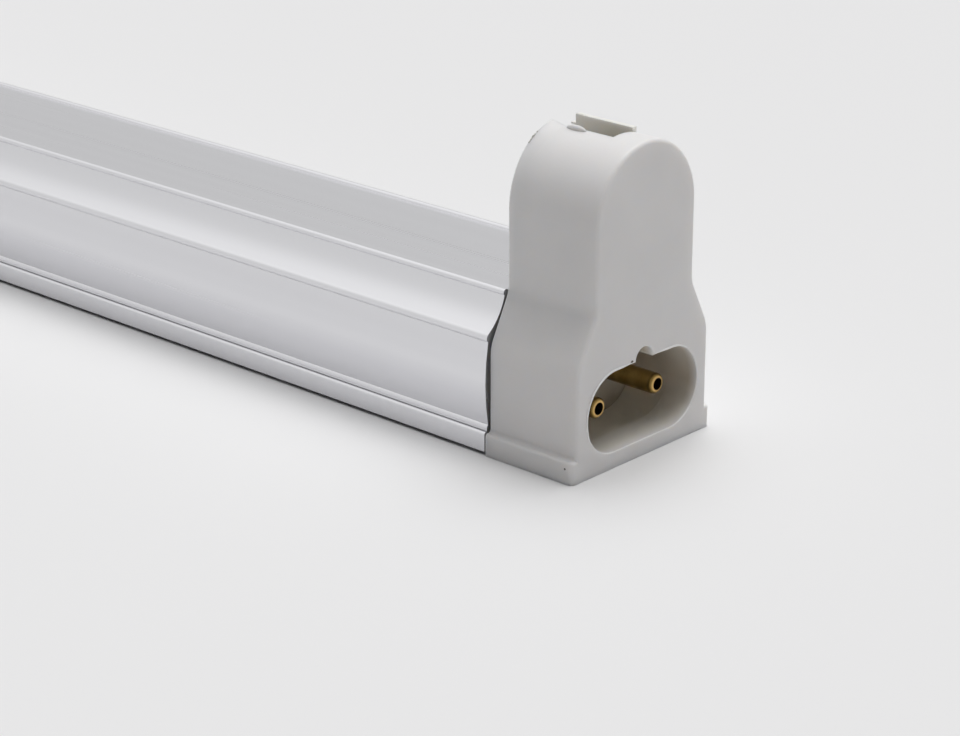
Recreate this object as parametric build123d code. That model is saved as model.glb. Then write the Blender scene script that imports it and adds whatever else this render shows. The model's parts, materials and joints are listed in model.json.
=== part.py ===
"""T5 batten holder: extruded profile, moulded end caps with slotted lamp holders, and the ballast inside.

X runs along the fixture, Y across it and Z up. The origin is under the middle, on the surface it stands on.
"""

import os
from math import cos, radians, sin, sqrt, tan

from build123d import *

# Layout
lamp_gap = 289.0
cap_depth = 11.7
lamp_height = 26.0
half_length = lamp_gap / 2 + cap_depth

# Running and fitting clearances
fit = 0.05
slide_fit = 0.15
turn_fit = 0.08
axial_play = 0.1
joint_gap = 0.3

# End cap, outside
foot_half_width = 11.1
foot_height = 2.44
foot_ledge = 0.75
foot_corner_round = 0.6
foot_rear_round = 0.4
foot_top_round = 0.3
ledge_blend = 0.4
body_half_width = foot_half_width - foot_ledge
flare_low = 11.8
flare_high = 17.1
flare_low_round = 4.0
flare_high_round = 3.0
tower_half_width = 7.65
face_round = 0.4

# End cap, inside
wall = 1.3
plate_rim = 0.7
plate_thickness = 1.2
plate_bottom = 16.1
pocket_half_width = 8.0

# Slot in the crown of the tower
slot_half_width = 1.5
crown_slot_shift = 0.25
crown_slot_length = 8.1
rim_width = 0.6
rim_rise = 0.25
rim_setback = 0.6
rim_ear_length = 1.0
rim_ear_rise = 0.32
rim_relief = 1.1
near_ear_length = 2.1
near_ear_width = 6.0
near_ear_rise = 0.3
near_ear_lean = 0.12
near_ear_sink = 0.05
ear_round = 0.15
scallop_radius = 1.15
scallop_bite = 0.55
mouth_half_width = 2.7
mouth_drop = 2.4

# Inlet recess
inlet_height = 6.2
inlet_width = 17.6
inlet_tall = 8.8
inlet_depth = 9.0
key_radius = 1.35
inlet_back_wall = 1.2
inlet_mouth_round = 0.12
latch_ledge = 3.8
latch_drop = 0.55

# Inlet pins
pin_pitch = 9.4
pin_drop = 0.2
pin_radius = 1.125
pin_root_radius = 1.35
pin_root_depth = 8.9
pin_bore = 0.65
pin_bore_depth = 6.0
pin_tip_inset = 2.0
pin_tip_round = 0.4
pin_collar_radius = 1.8
pin_collar_length = 0.8
pin_tail = 3.0

# Spigot tongues and the screw that holds the cap
tongue_length = 8.0
tongue_thickness = 1.2
tongue_low = 6.9
floor_tongue_half_width = 7.9
floor_tongue_top = 3.2
screw_inset = 4.0
screw_radius = 1.3
screw_head_radius = 2.2
screw_head_height = 1.0
screw_length = 5.6
screw_slot_width = 0.6
screw_slot_depth = 0.4
screw_boss_wall = 1.3
screw_boss_cover = 0.8

# Rotor
rotor_face_radius = 4.8
rotor_disc_radius = 5.6
rotor_disc_thickness = 1.4
rotor_barrel_radius = 3.4
rotor_slot_depth = 7.6
journal_radius = 1.5
journal_length = 1.0
journal_boss_wall = 1.2
face_set_back = 0.1

# Lamp contacts
contact_thickness = 0.3
contact_width = 3.2
contact_reach = 3.65
contact_foot_offset = 5.2
contact_foot_top = 21.0
contact_bow_half_height = 1.6
contact_tip_rise = 4.4
contact_post_half_width = 0.8
contact_post_top = 18.4
post_clearance = 0.2
contact_clearance = 0.5
foot_bend = 1.5
blade_bend = 0.8
tag_height = 1.2
tag_reach = 1.7

# Aluminium profile
profile_under = 0.35
flange_inset = 0.15
flange_top = 2.48
flange_edge = 0.27
groove_width = 0.1
groove_depth = 0.18
bead_low = 2.72
bead_fullness = 0.7
wall_foot_offset = 10.4
wall_foot_height = 3.17
wall_bulge = 0.42
ridge_reach = 0.18
ridge_height = 0.9
ridge_inset = 0.1
shoulder_low = 12.2
shoulder_dish = 0.42
lip_offset = 7.7
lip_centre_height = 16.9
lip_radius = 0.36
lip_undercut = 50
profile_top = 16.95
profile_wall = 1.0
profile_web = 1.2
rib_reach = 1.2
rib_thickness = 0.8

# Circuit board
board_length = 170.0
board_top = 5.6
board_thickness = 1.6
board_side_gap = 0.25
board_rib_gap = 0.2
liner_thickness = 0.3
liner_overhang = 4.0
liner_side_gap = 0.3

# Parts on the board, in their order from its feed end
row_gap = 4.5
side_gap = 1.6
axial_pitch = 4.0
lead_run = 1.5
lead_radius = 0.3
axial_round = 0.4
fuse_radius = 1.6
fuse_length = 9.0
diode_radius = 1.3
diode_length = 4.5
drum_radius = 4.2
drum_waist = 2.1
drum_height = 8.6
drum_flange = 1.0
bulk_radius = 4.0
bulk_length = 13.0
bulk_crimp = 0.35
ring_radius = 3.0
ring_bore = 1.4
ring_thickness = 3.2
ring_round = 0.3
thread_radius = 0.3
thread_turns = (-30, 0, 30, 150, 180, 210)
diac_radius = 0.9
diac_length = 3.6
transistor_radius = 2.4
transistor_flat = 1.3
transistor_height = 4.8
transistor_stand = 3.0
transistor_pitch = 9.0
leg_pitch = 1.27
leg_width = 0.4
resistor_radius = 1.1
resistor_length = 5.0
choke_length = 13.0
choke_width = 13.0
choke_height = 5.8
choke_stand = 1.2
choke_leg = 2.2
choke_stem = 3.0
bobbin_wall = 0.5
bobbin_cheek = 0.7
bobbin_rise = 1.4
winding_inset = 0.3
winding_round = 0.6
film_length = 9.0
film_width = 5.0
film_height = 8.0
film_round = 0.5
snubber_length = 7.0
snubber_width = 4.0
snubber_height = 7.0
thermistor_radius = 3.0
thermistor_thickness = 2.4
thermistor_round = 0.6
thermistor_stand = 1.0
thermistor_leg = 0.35
thermistor_spread = 1.6

# Internal wires
wire_radius = 0.6
wire_headroom = 0.3
wire_overlap = 3.0
wire_end_shift = 0.05
bend_share = 0.45
pin_wire_spread = 5.5
lamp_wire_spread = 2.2

# Each wire's bends: share of the run, further out than its landing, and height over the landing
pin_wire_lead = (0.16, 0.1, 0.1)
pin_wire_bends = ((0.40, 0.7, 0.9), (0.68, 0.5, 0.8), (0.88, 0.0, 0.0))
lamp_wire_lead = (0.14, -0.1, -0.1)
lamp_wire_bends = ((0.36, 1.6, 6.5), (0.62, 0.3, 2.0), (0.86, 0.0, 0.0))

pin_height = inlet_height - pin_drop
contact_seat_height = profile_top - profile_wall - wire_headroom - wire_radius - tag_height / 2
cavity_floor = inlet_height + inlet_tall / 2 + key_radius + wall
body_back = -cap_depth
profile_end = half_length - cap_depth - joint_gap
recess_back = -(inlet_depth + inlet_back_wall)
pin_collar_back = recess_back - pin_collar_length
web_top = profile_under + profile_web
lip_inner_offset = lip_offset - sqrt(lip_radius ** 2 - (lip_centre_height - profile_top) ** 2)
cavity_half_width = wall_foot_offset - profile_wall
board_half_width = cavity_half_width - board_side_gap
board_bottom = board_top - board_thickness
ballast_half_width = cavity_half_width - rib_reach - slide_fit

# Where each row of parts starts, with the feed end of the board at -X
fuse_x = -board_length / 2 + wire_overlap + row_gap + lead_run
diode_x = fuse_x + fuse_length + row_gap + 2 * lead_run
drum_x = diode_x + diode_length + lead_run + row_gap + drum_radius
bulk_x = drum_x + drum_radius + row_gap
diac_x = bulk_x + bulk_length + row_gap + lead_run
transistor_x = diac_x + diac_length + lead_run + row_gap + transistor_radius
resistor_x = transistor_x + transistor_radius + row_gap + lead_run
choke_x = resistor_x + resistor_length + lead_run + row_gap + choke_length / 2
film_x = choke_x + choke_length / 2 + row_gap
snubber_x = film_x + film_length + row_gap


def section(drawing, x_from, x_to):
    """Carry a drawing made in the end view from one station along the length to another."""
    return extrude(Plane.YZ.offset(x_from) * drawing, amount=x_to - x_from)


def block(x, y, z):
    """A box between two limits along each axis."""
    size = [high - low for low, high in (x, y, z)]
    middle = [(high + low) / 2 for low, high in (x, y, z)]
    return Pos(*middle) * Box(*size)


def rod(radius, start, direction, length):
    """A round bar from a start point."""
    return extrude(Plane(origin=start, z_dir=direction) * Circle(radius), amount=length)


def turned(radius, x_from, x_to, y=0.0, z=0.0):
    """A round bar along the length of the fixture."""
    return rod(radius, (x_from, y, z), (1, 0, 0), x_to - x_from)


# Aluminium profile

def round_point(centre, radius, angle):
    """A point on a round edge of the section, by its angle over the outward side."""
    turn = radians(angle)
    return (centre[0] + radius * cos(turn), centre[1] + radius * sin(turn))


def profile_half_outline():
    """Right half of the section, from the middle of the underside to the middle of the top."""
    flange = foot_half_width - flange_inset
    edge_centre = (flange - flange_edge, flange_top - flange_edge)
    groove_floor = flange_top - groove_depth
    groove_wall = edge_centre[0] - groove_width
    foot = (wall_foot_offset, wall_foot_height)
    bead_middle = (
        foot[0] + bead_fullness * (groove_wall - foot[0]),
        bead_low + bead_fullness * (foot[1] - bead_low),
    )
    bulge = (wall_foot_offset + wall_bulge, (wall_foot_height + shoulder_low) / 2)
    valley = (wall_foot_offset, shoulder_low)
    ridge = (wall_foot_offset + ridge_reach, shoulder_low + ridge_height / 2)
    shoulder = (wall_foot_offset - ridge_inset, shoulder_low + ridge_height)
    lip_centre = (lip_offset, lip_centre_height)
    lip_foot = round_point(lip_centre, lip_radius, -lip_undercut)
    lip_crest = round_point(lip_centre, lip_radius, 90)
    dish = ((shoulder[0] + lip_foot[0]) / 2 - shoulder_dish, (shoulder[1] + lip_foot[1]) / 2)
    lip_inside = (lip_inner_offset, profile_top)
    flange_side = Polyline((0, profile_under), (flange, profile_under), (flange, edge_centre[1]))
    groove = Polyline(
        (edge_centre[0], flange_top),
        (edge_centre[0], groove_floor),
        (groove_wall, groove_floor),
        (groove_wall, bead_low),
    )
    return [
        flange_side,
        ThreePointArc(flange_side @ 1, round_point(edge_centre, flange_edge, 45), groove @ 0),
        groove,
        ThreePointArc(groove @ 1, bead_middle, foot),
        ThreePointArc(foot, bulge, valley),
        ThreePointArc(valley, ridge, shoulder),
        ThreePointArc(shoulder, dish, lip_foot),
        ThreePointArc(lip_foot, lip_crest, lip_inside),
        Line(lip_inside, (0, profile_top)),
    ]


def cavity_half_outline():
    """Right half of the hollow inside the profile."""
    top = profile_top - profile_wall
    foot = (cavity_half_width, web_top)
    shoulder = (cavity_half_width, shoulder_low - profile_wall / 2)
    bulge = (cavity_half_width + wall_bulge, (wall_foot_height + shoulder_low) / 2)
    corner = (lip_inner_offset - profile_wall / 2, top)
    return [
        Line((0, web_top), foot),
        ThreePointArc(foot, bulge, shoulder),
        Line(shoulder, corner),
        Line(corner, (0, top)),
    ]


def closed(half):
    """Close a half outline with its mirror image."""
    return make_face(half + [mirror(edge, about=Plane.YZ) for edge in half])


def screw_hole():
    """Countersunk hole through the underside, drawn at the origin."""
    head = Cone(
        screw_head_radius + fit,
        screw_radius + fit,
        screw_head_height,
        align=(Align.CENTER, Align.CENTER, Align.MIN),
    )
    shank = Cylinder(screw_radius + fit, screw_length, align=(Align.CENTER, Align.CENTER, Align.MIN))
    return head + shank


def screw_places():
    """The two screw stations along the profile."""
    station = half_length - cap_depth - screw_inset
    return [Pos(x, 0, profile_under) for x in (-station, station)]


def make_profile():
    drawing = closed(profile_half_outline()) - closed(cavity_half_outline())
    body = section(drawing, -profile_end, profile_end)
    reach = cavity_half_width - rib_reach
    edge = cavity_half_width + wall_bulge + profile_wall / 4
    lengthways = (-profile_end, profile_end)
    upper = board_top + board_rib_gap
    for side in (-1, 1):
        across = sorted((side * reach, side * edge))
        body += block(lengthways, across, (board_bottom - rib_thickness, board_bottom))
        body += block(lengthways, across, (upper, upper + rib_thickness))
    for place in screw_places():
        body -= place * screw_hole()
    return body


# End cap

def cap_outline(inset=0.0, bottom=0.0):
    """Front view of the body, flare and tower, drawn inside the outer skin by an inset."""
    body = body_half_width - inset
    tower = tower_half_width - inset
    side = [(body, bottom), (body, flare_low), (tower, flare_high), (tower, lamp_height)]
    other = [(-y, z) for y, z in reversed(side)]
    bends = [flare_low_round, flare_high_round]
    return make_face(
        [
            FilletPolyline(*side, radius=bends),
            ThreePointArc(side[-1], (0, lamp_height + tower), other[0]),
            FilletPolyline(*other, radius=bends[::-1]),
            Line(other[-1], side[0]),
        ]
    )


def above(height):
    """Everything over a height, in the end view."""
    span = 4 * foot_half_width
    return Pos(0, height + span / 2) * Rectangle(span, span)


def make_foot():
    """Foot flange, which reaches back over the joint to the end of the profile."""
    back = body_back - joint_gap + fit
    foot = block((back, 0), (-foot_half_width, foot_half_width), (0, foot_height))
    upright = foot.edges().filter_by(Axis.Z)
    foot = fillet(upright.group_by(Axis.X)[-1], foot_corner_round)
    foot = fillet(foot.edges().filter_by(Axis.Z).group_by(Axis.X)[0], foot_rear_round)
    return fillet(foot.faces().sort_by(Axis.Z)[-1].edges(), foot_top_round)


def foot_blends():
    """Concave blends from the sides of the body to the top of the foot."""
    low = foot_height - foot_top_round
    top = foot_height + ledge_blend
    inner = body_half_width - wall / 2
    edge = body_half_width + ledge_blend
    middle = ledge_blend * (1 - sin(radians(45)))
    outline = Polyline((body_half_width, top), (inner, top), (inner, low), (edge, low), (edge, foot_height))
    curve = ThreePointArc(outline @ 1, (body_half_width + middle, foot_height + middle), outline @ 0)
    blend = section(make_face([outline, curve]), body_back, -face_round)
    return [blend, mirror(blend, about=Plane.XZ)]


def slot_rims():
    """Raised lip along the far side of the crown slot with its ear, and the swelling on its near side."""
    crown = lamp_height + tower_half_width
    far = crown_slot_shift + slot_half_width
    near = crown_slot_shift - slot_half_width
    rim_start = body_back + rim_setback
    low = crown - wall
    across = (far, far + rim_width)
    rim = block((rim_start, body_back + crown_slot_length), across, (low, crown + rim_rise))
    ear = block((rim_start, rim_start + rim_ear_length), across, (low, crown + rim_ear_rise))
    ear = fillet(ear.faces().sort_by(Axis.Z)[-1].edges(), ear_round)
    along = (body_back, body_back + near_ear_length)
    raised = Pos(near_ear_lean, lamp_height + near_ear_rise) * Circle(tower_half_width)
    level = Pos(0, lamp_height) * Circle(tower_half_width - near_ear_sink)
    swelling = loft([Plane.YZ.offset(along[0]) * raised, Plane.YZ.offset(along[1]) * level])
    swelling &= block(along, (near - near_ear_width, near), (lamp_height, crown + wall))
    return [rim, ear, swelling]


def crown_slot():
    """The slot, open to the inner face, with a scallop in its near edge and a relief at the far one."""
    crown = lamp_height + tower_half_width
    across = (crown_slot_shift - slot_half_width, crown_slot_shift + slot_half_width)
    slot = block((body_back, body_back + crown_slot_length), across, (lamp_height, crown + 2 * wall))
    slot += block(
        (body_back, body_back + rim_setback),
        (across[1], across[1] + rim_relief),
        (crown - plate_rim, crown + wall),
    )
    scallop_x = body_back + near_ear_length + scallop_radius
    scallop_y = across[0] + scallop_radius - scallop_bite
    return slot + rod(scallop_radius, (scallop_x, scallop_y, crown - 2 * wall), (0, 0, 1), 4 * wall)


def inlet_drawing():
    """Keyed stadium of the inlet recess."""
    stadium = Pos(0, inlet_height) * SlotOverall(inlet_width, inlet_tall)
    return stadium + Pos(0, inlet_height + inlet_tall / 2) * Circle(key_radius)


def latch_pocket():
    """Lower floor of the recess behind a ledge, where the latch of a lead catches."""
    lowered = Pos(0, inlet_height - latch_drop) * SlotOverall(inlet_width, inlet_tall)
    return section(lowered - above(inlet_height), -inlet_depth, -latch_ledge)


def contact_posts():
    """Blocks in the tower that grip the feet of the two contacts."""
    posts = []
    start = rotor_disc_back + post_clearance
    for side in (-1, 1):
        middle = side * contact_foot_offset
        across = (middle - contact_post_half_width, middle + contact_post_half_width)
        posts.append(block((start, -wall), across, (cavity_floor, contact_post_top)))
    return posts


def contact_slits():
    """Slits in those blocks, open to the inside of the fixture."""
    slits = []
    half = contact_thickness / 2 + fit
    for side in (-1, 1):
        middle = side * contact_foot_offset
        slits.append(
            block(
                (body_back, contact_front + fit),
                (middle - half, middle + half),
                (contact_seat_height - half, contact_post_top + wall),
            )
        )
    return slits


def make_cap():
    shell = section(cap_outline(), body_back, 0)
    shell = fillet(shell.faces().sort_by(Axis.X)[-1].edges(), face_round)
    shell += make_foot()
    for blend in foot_blends():
        shell += blend
    for rim in slot_rims():
        shell += rim

    tower_hollow = cap_outline(wall) & above(cavity_floor)
    shell -= section(tower_hollow, body_back, -wall)
    shell -= section(cap_outline(plate_rim) & above(plate_bottom), body_back, plate_front)
    shell -= section(inlet_drawing(), -inlet_depth, wall)
    shell -= block(
        (body_back, recess_back),
        (-pocket_half_width, pocket_half_width),
        (floor_tongue_top, cavity_floor + wall),
    )
    shell -= crown_slot()
    shell -= latch_pocket()
    for side in (-1, 1):
        shell -= turned(pin_root_radius + fit, recess_back, -inlet_depth, side * pin_pitch / 2, pin_height)

    journal_front = -wall - journal_length
    shell += turned(journal_radius + journal_boss_wall, journal_front, -wall + fit, 0, lamp_height)
    shell -= turned(journal_radius + turn_fit, journal_front, -wall, 0, lamp_height)
    for post in contact_posts():
        shell += post
    for slit in contact_slits():
        shell -= slit
    mouth = shell.faces().sort_by(Axis.X)[-1].inner_wires()[0].edges()
    shell = fillet(mouth, inlet_mouth_round)
    return shell + make_tongues() - cap_screw_hole()


def make_tongues():
    """Tongues that slide into the profile: one along each wall and one on the web."""
    back = body_back - tongue_length
    outer = cavity_half_width - slide_fit
    across = (-floor_tongue_half_width, floor_tongue_half_width)
    tongues = block((back, recess_back), across, (web_top + slide_fit, floor_tongue_top))
    height = (tongue_low, shoulder_low - profile_wall / 2 - 2 * slide_fit)
    for side in (-1, 1):
        reach = sorted((side * (outer - tongue_thickness), side * outer))
        tongue = block((back, recess_back), reach, height)
        lead = tongue.faces().sort_by(Axis.X)[0].edges()
        tongues += chamfer(lead, tongue_thickness / 4)
    boss_radius = screw_radius + screw_boss_wall
    boss_x = body_back - screw_inset
    boss_top = profile_under + screw_length + screw_boss_cover
    floor = web_top + slide_fit
    return tongues + rod(boss_radius, (boss_x, 0, floor), (0, 0, 1), boss_top - floor)


def cap_screw_hole():
    """Pilot hole in the boss."""
    start = (body_back - screw_inset, 0, profile_under)
    return rod(screw_radius + fit, start, (0, 0, 1), screw_length + fit)


# Parts of the lamp holder, drawn at the photographed end with the outer face of the cap at x = 0

plate_front = body_back + plate_thickness
rotor_face = body_back + face_set_back
rotor_disc_front = plate_front + axial_play
rotor_disc_back = rotor_disc_front + rotor_disc_thickness
rotor_slot_end = rotor_face + rotor_slot_depth
rotor_tail_end = -wall - journal_length - axial_play
contact_back = rotor_disc_back + contact_clearance
contact_front = contact_back + contact_width


def make_holder_plate():
    """Face plate with the rotor's window, open to the crown through a funnel mouth."""
    drawing = cap_outline(plate_rim + fit) & above(plate_bottom + fit)
    crown = lamp_height + tower_half_width
    mouth = make_face(
        Polyline(
            (-slot_half_width, lamp_height),
            (slot_half_width, lamp_height),
            (slot_half_width, crown - mouth_drop),
            (mouth_half_width, crown),
            (-mouth_half_width, crown),
            (-slot_half_width, crown - mouth_drop),
            (-slot_half_width, lamp_height),
        )
    )
    window = Pos(0, lamp_height) * Circle(rotor_face_radius + turn_fit)
    return section(drawing - window - mouth, body_back, plate_front)


def make_rotor():
    """Slotted rotor: face, retaining disc, barrel, tail and rear journal."""
    profile = Polyline(
        (rotor_face, 0),
        (rotor_face, rotor_face_radius),
        (rotor_disc_front, rotor_face_radius),
        (rotor_disc_front, rotor_disc_radius),
        (rotor_disc_back, rotor_disc_radius),
        (rotor_disc_back, rotor_barrel_radius),
        (rotor_tail_end, rotor_barrel_radius),
        (rotor_tail_end, journal_radius),
        (rotor_tail_end + journal_length, journal_radius),
        (rotor_tail_end + journal_length, 0),
        (rotor_face, 0),
    )
    body = revolve(Plane.XZ * make_face(profile), Axis.X)
    slot = block(
        (rotor_face, rotor_slot_end),
        (-slot_half_width, slot_half_width),
        (-rotor_disc_radius, rotor_disc_radius),
    )
    return Pos(0, 0, lamp_height) * (body - slot)


def contact_strip():
    """Centre line of one contact: straight foot, bow that presses on the lamp pin, and a tip."""
    foot = contact_foot_offset
    reach = contact_reach + contact_thickness / 2
    bow = contact_bow_half_height
    tip = lamp_height + contact_tip_rise
    tower_room = (tower_half_width - wall) ** 2 - contact_tip_rise ** 2
    tip_offset = sqrt(max(tower_room, reach ** 2)) - contact_thickness
    return FilletPolyline(
        (foot, contact_seat_height),
        (foot, contact_foot_top),
        (reach, lamp_height - bow),
        (reach, lamp_height + bow),
        (tip_offset, tip),
        radius=[foot_bend, blade_bend, blade_bend],
    )


def make_contact(side):
    half = contact_thickness / 2
    drawing = make_face(offset(contact_strip(), half, kind=Kind.INTERSECTION, side=Side.BOTH))
    blade = section(drawing, contact_back, contact_front)
    tag = block(
        (body_back + tag_reach, contact_front),
        (contact_foot_offset - half, contact_foot_offset + half),
        (contact_seat_height, contact_seat_height + tag_height),
    )
    contact = blade + tag
    return contact if side > 0 else mirror(contact, about=Plane.XZ)


def make_pin(side):
    """Tubular inlet pin: open tip, thicker root through the recess wall, collar and tail behind it."""
    tail_end = recess_back - pin_tail
    tip = -pin_tip_inset
    root = -pin_root_depth
    bore_end = tip - pin_bore_depth
    drawing = Polyline(
        (tail_end, 0),
        (tail_end, pin_radius),
        (pin_collar_back, pin_radius),
        (pin_collar_back, pin_collar_radius),
        (recess_back, pin_collar_radius),
        (recess_back, pin_root_radius),
        (root, pin_root_radius),
        (root + pin_root_radius - pin_radius, pin_radius),
        (tip, pin_radius),
        (tip, pin_bore),
        (bore_end, pin_bore),
        (bore_end, 0),
        (tail_end, 0),
    )
    pin = revolve(Plane.XZ * make_face(drawing), Axis.X)
    mouth = pin.faces().sort_by(Axis.X)[-1].outer_wire().edges()
    return Pos(0, side * pin_pitch / 2, pin_height) * fillet(mouth, pin_tip_round)


def make_screw():
    """Countersunk screw from the underside into the cap's boss."""
    head = Cone(
        screw_head_radius,
        screw_radius,
        screw_head_height,
        align=(Align.CENTER, Align.CENTER, Align.MIN),
    )
    shank = Cylinder(screw_radius, screw_length, align=(Align.CENTER, Align.CENTER, Align.MIN))
    drive = Box(3 * screw_head_radius, screw_slot_width, 2 * screw_slot_depth)
    return Pos(body_back - screw_inset, 0, profile_under) * (head + shank - drive)


# Circuit board and what stands on it, drawn with the feed end at -X

def make_board():
    half = board_length / 2
    return block((-half, half), (-board_half_width, board_half_width), (board_bottom, board_top))


def make_liner():
    """Folded insulating film between the web and the underside of the board."""
    half = board_length / 2 + liner_overhang
    outer = cavity_half_width - liner_side_gap
    inner = outer - liner_thickness
    top = board_bottom - rib_thickness - slide_fit
    tray = block((-half, half), (-outer, outer), (web_top, top))
    return tray - block((-half, half), (-inner, inner), (web_top + liner_thickness, top))


def axial_part(x, y, radius, length):
    """A lying axial part with its leads bent down to the board."""
    z = board_top + radius
    body = rod(radius, (x, y, z), (1, 0, 0), length)
    body = fillet(body.edges(), radius * axial_round)
    for start, step in ((x, -lead_run), (x + length, lead_run)):
        run = [(start, y, z), (start + step, y, z), (start + step, y, board_top)]
        path = FilletPolyline(*run, radius=2 * lead_radius)
        mouth = Plane(origin=run[0], z_dir=(step, 0, 0)) * Circle(lead_radius)
        body += sweep(mouth, path=path)
    return body


def axial_row(x, radius, length):
    """Four axial parts side by side."""
    offsets = [axial_pitch * step for step in (-1.5, -0.5, 0.5, 1.5)]
    return Compound([axial_part(x, y, radius, length).solid() for y in offsets])


def film_capacitor(x, y, length, width, height):
    body = block((x, x + length), (y - width / 2, y + width / 2), (board_top, board_top + height))
    return fillet(body.edges(), film_round)


def upright(radius, x, y, low, height):
    """A round bar that stands on a height over the board."""
    return rod(radius, (x, y, board_top + low), (0, 0, 1), height)


def make_drum():
    """Ferrite drum that stands on the board, with a waist for its winding."""
    post = upright(drum_waist, drum_x, 0, 0, drum_height)
    low = upright(drum_radius, drum_x, 0, 0, drum_flange)
    return post + low + upright(drum_radius, drum_x, 0, drum_height - drum_flange, drum_flange)


def make_drum_winding():
    """Winding that fills the waist of the drum, with a rounded belly."""
    length = drum_height - 2 * drum_flange
    coil = upright(drum_radius - winding_inset, drum_x, 0, drum_flange, length)
    coil = fillet(coil.edges(), winding_round)
    return coil - upright(drum_waist, drum_x, 0, drum_flange, length)


def make_bulk_capacitor():
    """A lying can with a rounded far end and a crimp groove near its leads."""
    y = ballast_half_width - bulk_radius
    z = board_top + bulk_radius
    can = rod(bulk_radius, (bulk_x, y, z), (1, 0, 0), bulk_length)
    can = fillet(can.edges().sort_by(Axis.X)[-1:], 2 * bulk_crimp)
    groove = (bulk_x + bulk_radius / 2, bulk_x + bulk_radius / 2 + bulk_crimp)
    ring = turned(2 * bulk_radius, *groove, y, z) - turned(bulk_radius - bulk_crimp / 2, *groove, y, z)
    return can - ring


ring_overhang = 2 * thread_radius + fit
ring_place = Pos(
    bulk_x + bulk_length - ring_overhang - ring_thickness / 2,
    ring_radius + ring_overhang - ballast_half_width,
    board_top + ring_radius,
)


def make_driver_core():
    """Small ferrite ring, standing on its edge beside the can."""
    half = ring_thickness / 2
    ring = turned(ring_radius, -half, half) - turned(ring_bore, -half, half)
    return ring_place * fillet(ring.edges(), ring_round)


def make_driver_winding():
    """Turns of insulated wire through the ring, on its two sides."""
    across = (ring_radius - ring_bore) / 2 + thread_radius + fit
    along = ring_thickness / 2 + thread_radius + fit
    corners = [(-along, -across), (along, -across), (along, across), (-along, across)]
    path = Plane.XY * FilletPolyline(*corners, radius=2 * thread_radius, close=True)
    loop = sweep(Plane(origin=path @ 0, z_dir=path % 0) * Circle(thread_radius), path=path)
    middle = Pos(0, (ring_radius + ring_bore) / 2, 0)
    return Compound([(ring_place * Rot(angle, 0, 0) * middle * loop).solid() for angle in thread_turns])


def make_transistors():
    """Two small transistors with a flat face and three legs each."""
    parts = []
    half = leg_width / 2
    for side in (-1, 1):
        x = transistor_x
        y = side * transistor_pitch / 2
        body = upright(transistor_radius, x, y, transistor_stand, transistor_height)
        body -= block(
            (x + transistor_flat, x + transistor_radius),
            (y - transistor_radius, y + transistor_radius),
            (board_top, board_top + transistor_stand + transistor_height),
        )
        for step in (-leg_pitch, 0, leg_pitch):
            across = (y + step - half, y + step + half)
            body += block((x - half, x + half), across, (board_top, board_top + transistor_stand))
        parts.append(body.solid())
    return Compound(parts)


choke_low = board_top + choke_stand
choke_top = choke_low + choke_height
choke_window = (choke_x - choke_length / 2 + choke_leg, choke_x + choke_length / 2 - choke_leg)


def make_choke_core():
    """Pair of ferrite E cores, lying with their legs along the board."""
    along = (choke_x - choke_length / 2, choke_x + choke_length / 2)
    frame = block(along, (-choke_width / 2, choke_width / 2), (choke_low, choke_top))
    for side in (-1, 1):
        across = sorted((side * choke_stem / 2, side * (choke_width / 2 - choke_leg)))
        frame -= block(choke_window, across, (choke_low, choke_top))
    return frame


def make_choke_bobbin():
    """Bobbin round the middle leg, with cheeks that stand on the board."""
    along = (choke_window[0] + fit, choke_window[1] - fit)
    outer = choke_width / 2 - choke_leg - slide_fit
    inner = choke_stem / 2 + fit
    tube = inner + bobbin_wall
    body = block(along, (-tube, tube), (choke_low - fit - bobbin_wall, choke_top + fit + bobbin_wall))
    for low, high in ((along[0], along[0] + bobbin_cheek), (along[1] - bobbin_cheek, along[1])):
        body += block((low, high), (-outer, outer), (board_top, choke_top + bobbin_rise))
    return body - block(along, (-inner, inner), (choke_low - fit, choke_top + fit))


def make_choke_winding():
    """Winding between the bobbin's cheeks."""
    end = fit + bobbin_cheek
    along = (choke_window[0] + end, choke_window[1] - end)
    outer = choke_width / 2 - choke_leg - slide_fit - winding_inset
    inner = choke_stem / 2 + fit + bobbin_wall
    height = (board_top + winding_inset, choke_top + bobbin_rise - winding_inset)
    coil = block(along, (-outer, outer), height)
    coil = fillet(coil.edges().filter_by(Axis.X), winding_round)
    bore = (choke_low - fit - bobbin_wall, choke_top + fit + bobbin_wall)
    return coil - block(along, (-inner, inner), bore)


def make_thermistor():
    """Disc thermistor on two legs."""
    y = -thermistor_radius - side_gap / 2
    z = board_top + thermistor_radius + thermistor_stand
    disc = rod(thermistor_radius, (snubber_x, y, z), (1, 0, 0), thermistor_thickness)
    disc = fillet(disc.edges(), thermistor_round)
    for step in (-thermistor_spread, thermistor_spread):
        x = snubber_x + thermistor_thickness / 2
        disc += upright(thermistor_leg, x, y + step, 0, thermistor_radius + thermistor_stand)
    return disc


# Internal wires

def bend_radii(points):
    """The largest bend at each corner that its two runs allow."""
    vectors = [Vector(*p) for p in points]
    radii = []
    for before, here, after in zip(vectors, vectors[1:], vectors[2:]):
        arriving = here - before
        leaving = after - here
        turn = radians(arriving.get_angle(leaving))
        radii.append(bend_share * min(arriving.length, leaving.length) / tan(turn / 2))
    return radii


def make_wire(points):
    path = FilletPolyline(*points, radius=bend_radii(points))
    return sweep(Plane(origin=points[0], z_dir=path % 0) * Circle(wire_radius), path=path)


def wire_landing():
    """Where the wires lie on the board, in the cap's own frame."""
    edge = board_length / 2 - half_length
    return edge, edge - wire_overlap, board_top + wire_radius


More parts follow.
